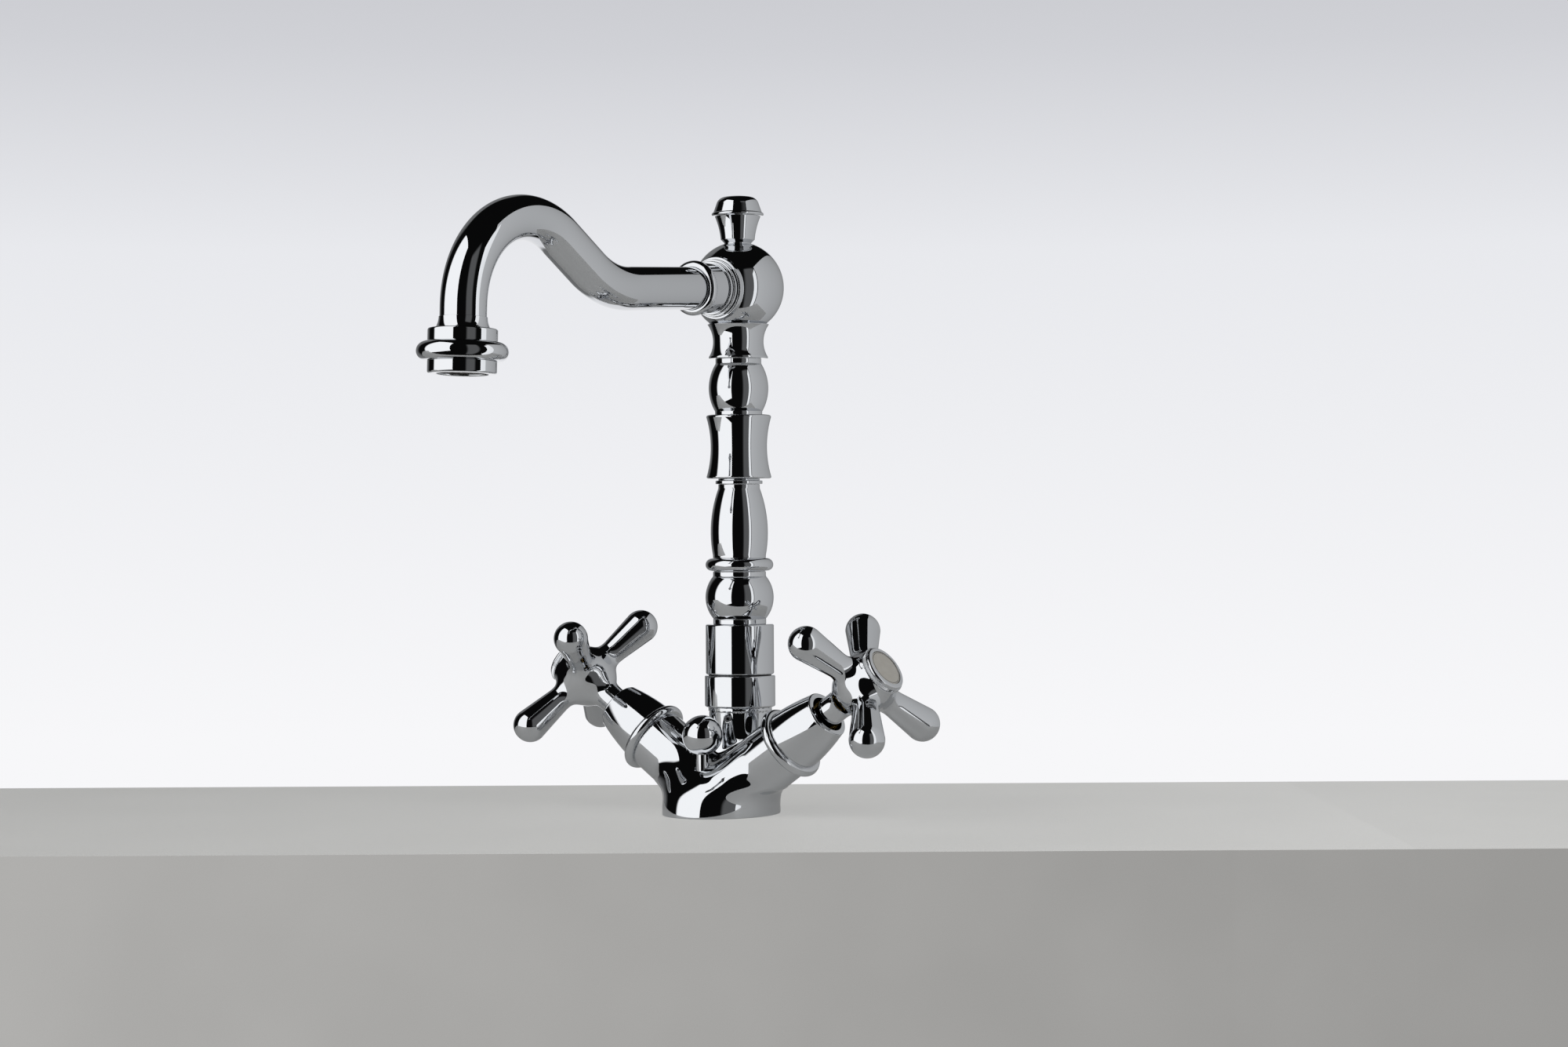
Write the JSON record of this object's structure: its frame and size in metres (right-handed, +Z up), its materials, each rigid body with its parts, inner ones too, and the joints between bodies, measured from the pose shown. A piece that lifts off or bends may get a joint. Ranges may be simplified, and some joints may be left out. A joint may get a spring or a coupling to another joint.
{
  "type": "basin mixer tap",
  "caption": "Traditional deck-mounted basin mixer tap with cross handles, a turned column and a swivelling gooseneck spout, with a lift rod for the waste.",
  "frame": {"origin": "centre of the foot's oval underside, on the deck", "axes": "+Z up from the deck along the column, -Y to the front where the spout points, +X to the cold handle"},
  "size_m": [0.1838, 0.2118, 0.256],
  "materials": {
    "chrome": "polished chrome plate on brass",
    "brass": "machined brass",
    "rubber": "EPDM rubber",
    "valve_ceramic": "lapped alumina ceramic",
    "porcelain": "glazed cream porcelain",
    "plastic": "moulded acetal plastic",
    "steel": "stainless steel"
  },
  "bodies": {
    "body": {"mixer_body": "chrome", "base_gasket": "rubber", "rod_guide_bush": "plastic", "grub_screw": "steel", "column_collar": "chrome", "swivel_washer": "plastic", "hot_seat_seal": "rubber", "hot_fixed_disc": "valve_ceramic", "hot_spindle_o_ring": "rubber", "hot_headwork_body": "brass", "hot_valve_shroud": "chrome", "cold_seat_seal": "rubber", "cold_fixed_disc": "valve_ceramic", "cold_spindle_o_ring": "rubber", "cold_headwork_body": "brass", "cold_valve_shroud": "chrome"},
    "spout": {"swivel_pin": "brass", "swivel_o_rings": "rubber", "swivel_sleeve": "chrome", "column_shaft": "chrome", "ball_head": "chrome", "finial": "chrome", "spout_tube": "chrome", "spout_collar": "chrome", "spout_o_ring": "rubber", "outlet_ring": "chrome", "aerator_housing": "chrome", "aerator_insert": "plastic", "aerator_seal": "rubber"},
    "hot_handle": {"hot_cross_handle": "chrome", "hot_handle_screw": "steel", "hot_index_bezel": "chrome", "hot_index_disc": "porcelain", "hot_spindle": "brass", "hot_moving_disc": "valve_ceramic"},
    "cold_handle": {"cold_cross_handle": "chrome", "cold_handle_screw": "steel", "cold_index_bezel": "chrome", "cold_index_disc": "porcelain", "cold_spindle": "brass", "cold_moving_disc": "valve_ceramic"},
    "lift": {"lift_rod": "chrome", "lift_knob": "chrome"}
  },
  "joints": [
    {"name": "spout_swivel", "type": "hinge", "parent": "body", "child": "spout", "pos_m": [0, 0.0137, 0.0569], "axis": [0, 0, 1], "continuous": true},
    {"name": "hot_turn", "type": "hinge", "parent": "body", "child": "hot_handle", "pos_m": [0, 0, 0.0065], "axis": [-0.8241, 0, 0.5664], "range_deg": [0, 90]},
    {"name": "cold_turn", "type": "hinge", "parent": "body", "child": "cold_handle", "pos_m": [0, 0, 0.0065], "axis": [0.8241, 0, 0.5664], "range_deg": [0, 90]},
    {"name": "waste_lift", "type": "slide", "parent": "body", "child": "lift", "axis": [0, 0, 1], "range_m": [0, 0.015]}
  ]
}
